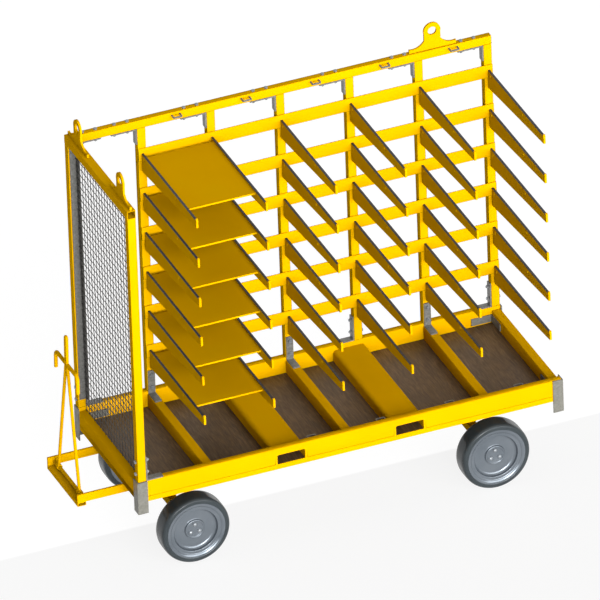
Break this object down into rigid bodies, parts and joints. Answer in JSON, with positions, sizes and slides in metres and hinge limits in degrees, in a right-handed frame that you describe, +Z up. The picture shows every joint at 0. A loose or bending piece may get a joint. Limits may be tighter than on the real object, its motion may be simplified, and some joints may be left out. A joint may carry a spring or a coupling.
{
  "type": "platform hand cart",
  "caption": "Steerable platform cart with a bar rack, a meshed end portal, fork pockets and a folding drawbar.",
  "frame": {"origin": "on the floor, midway between the cart's ends and midway between its sides", "axes": "+X along the cart away from the drawbar, -Y the open loading side, +Z up"},
  "size_m": [2.775, 0.952, 2.4619],
  "materials": {
    "yellow_paint": "gloss powder coat",
    "zinc_steel": "galvanised",
    "plywood": "film-faced plywood",
    "rubber": "matt edge rubber",
    "tyre": "solid rubber tyre"
  },
  "bodies": {
    "chassis": {"base_ring": "yellow_paint", "plywood_deck": "plywood", "deck_bearers": "yellow_paint", "axle_plates": "yellow_paint", "front_beam": "yellow_paint", "rear_beam": "yellow_paint", "left_end_beam": "yellow_paint", "right_end_beam": "yellow_paint", "cross_members": "yellow_paint", "fork_pocket_left": "yellow_paint", "fork_pocket_right": "yellow_paint", "corner_legs": "zinc_steel", "corner_gussets": "zinc_steel", "top_brackets": "zinc_steel", "foot_brackets": "zinc_steel", "bracket_bolts": "zinc_steel", "portal_front_post": "yellow_paint", "portal_rear_post": "yellow_paint", "portal_beam": "yellow_paint", "panel_angles": "zinc_steel", "wire_panel": "zinc_steel", "rack_posts": "yellow_paint", "rack_top_beam": "yellow_paint", "rack_rails": "yellow_paint", "rack_arms_1": "yellow_paint", "rack_arms_2": "yellow_paint", "rack_arms_3": "yellow_paint", "rack_arms_4": "yellow_paint", "rack_arms_5": "yellow_paint", "rack_arms_6": "yellow_paint", "arm_rubbers": "rubber", "bay_shelves": "yellow_paint", "lashing_staples": "zinc_steel", "lifting_lugs": "yellow_paint", "rear_axle": "yellow_paint", "rear_axle_stand": "yellow_paint", "turntable_upper_ring": "zinc_steel", "kingpin": "zinc_steel"},
    "carriage": {"turntable_lower_ring": "zinc_steel", "bolster_plate": "yellow_paint", "front_axle": "yellow_paint", "front_axle_stand": "yellow_paint", "tow_rails": "yellow_paint", "tow_cross_member": "yellow_paint", "pivot_bar": "yellow_paint"},
    "drawbar": {"drawbar_frame": "yellow_paint", "drawbar_handle": "yellow_paint", "drawbar_sleeves": "yellow_paint"},
    "left_front_wheel": {"left_front_wheel_tyre": "tyre", "left_front_wheel_rim": "zinc_steel", "left_front_wheel_bearings": "zinc_steel"},
    "left_rear_wheel": {"left_rear_wheel_tyre": "tyre", "left_rear_wheel_rim": "zinc_steel", "left_rear_wheel_bearings": "zinc_steel"},
    "right_front_wheel": {"right_front_wheel_tyre": "tyre", "right_front_wheel_rim": "zinc_steel", "right_front_wheel_bearings": "zinc_steel"},
    "right_rear_wheel": {"right_rear_wheel_tyre": "tyre", "right_rear_wheel_rim": "zinc_steel", "right_rear_wheel_bearings": "zinc_steel"}
  },
  "joints": [
    {"name": "steering", "type": "hinge", "parent": "chassis", "child": "carriage", "pos_m": [-0.7975, 0, 0.434], "axis": [0, 0, 1], "range_deg": [-22, 22]},
    {"name": "drawbar_hinge", "type": "hinge", "parent": "carriage", "child": "drawbar", "pos_m": [-1.3455, 0, 0.415], "axis": [0, -1, 0], "range_deg": [0, 105]},
    {"name": "left_front_spin", "type": "hinge", "parent": "carriage", "child": "left_front_wheel", "pos_m": [-0.7975, -0.416, 0.2], "axis": [0, 1, 0], "continuous": true},
    {"name": "left_rear_spin", "type": "hinge", "parent": "carriage", "child": "left_rear_wheel", "pos_m": [-0.7975, 0.416, 0.2], "axis": [0, 1, 0], "continuous": true},
    {"name": "right_front_spin", "type": "hinge", "parent": "chassis", "child": "right_front_wheel", "pos_m": [0.9755, -0.416, 0.2], "axis": [0, 1, 0], "continuous": true},
    {"name": "right_rear_spin", "type": "hinge", "parent": "chassis", "child": "right_rear_wheel", "pos_m": [0.9755, 0.416, 0.2], "axis": [0, 1, 0], "continuous": true}
  ]
}
